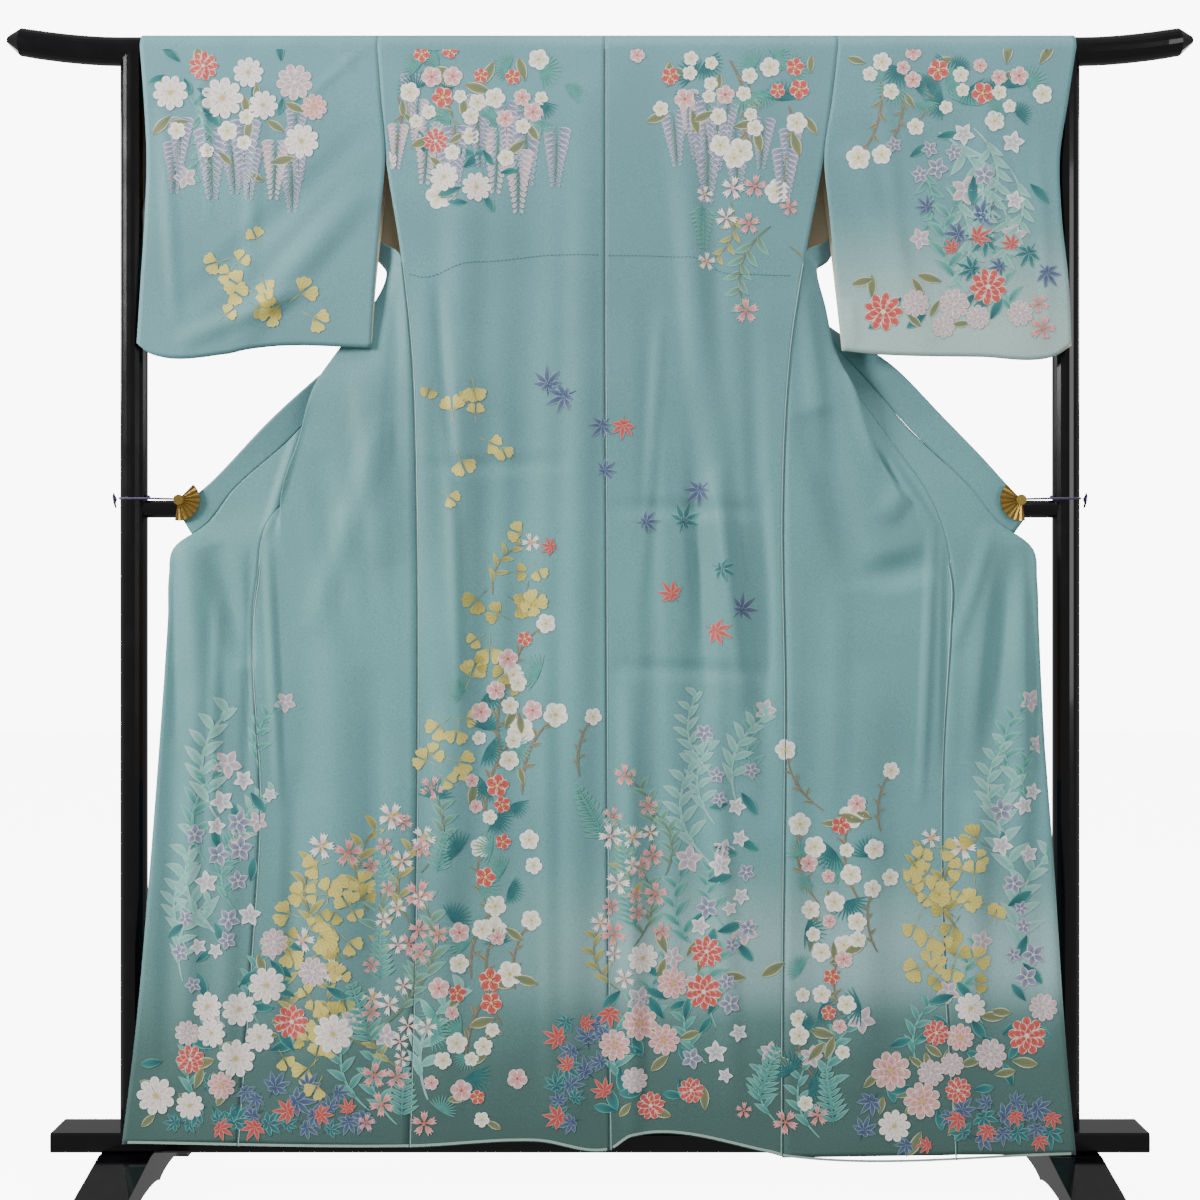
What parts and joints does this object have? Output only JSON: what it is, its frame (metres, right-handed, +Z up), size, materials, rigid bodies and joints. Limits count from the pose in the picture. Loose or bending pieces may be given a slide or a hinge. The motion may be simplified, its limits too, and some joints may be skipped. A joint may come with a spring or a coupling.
{
  "type": "silk kimono on a kimono stand",
  "caption": "Lined silk crepe kimono with painted flowers, spread open over the rod of a black lacquered stand, its fronts held out by fan clips.",
  "frame": {"origin": "on the floor, midway between the feet, under the middle of the top rod", "axes": "+Z up, +X along the rods towards the wearer's right sleeve, +Y away from the painted back of the kimono"},
  "size_m": [1.6976, 0.48, 1.6698],
  "materials": {
    "silk": "pebbled crepe with a soft satin sheen",
    "lining": "plain silk lining",
    "lacquer": "glossy black lacquer on wood",
    "gilt": "gilt brass, polished ridges and darker grooves",
    "cord": "braided silk cord"
  },
  "bodies": {
    "root": {"body_left": "silk", "body_right": "silk", "sleeve_left": "silk", "sleeve_right": "silk", "overlap_left": "silk", "overlap_right": "silk", "collar": "silk", "collar_cover": "silk", "top_rod": "lacquer", "post_left": "lacquer", "post_right": "lacquer", "mid_bar": "lacquer", "base_board": "lacquer", "foot_left": "lacquer", "foot_right": "lacquer", "fan_left": "gilt", "fan_right": "gilt", "jaw_left": "gilt", "jaw_right": "gilt", "cord_left": "cord", "cord_right": "cord", "knot_left": "cord", "knot_right": "cord"}
  },
  "joints": []
}
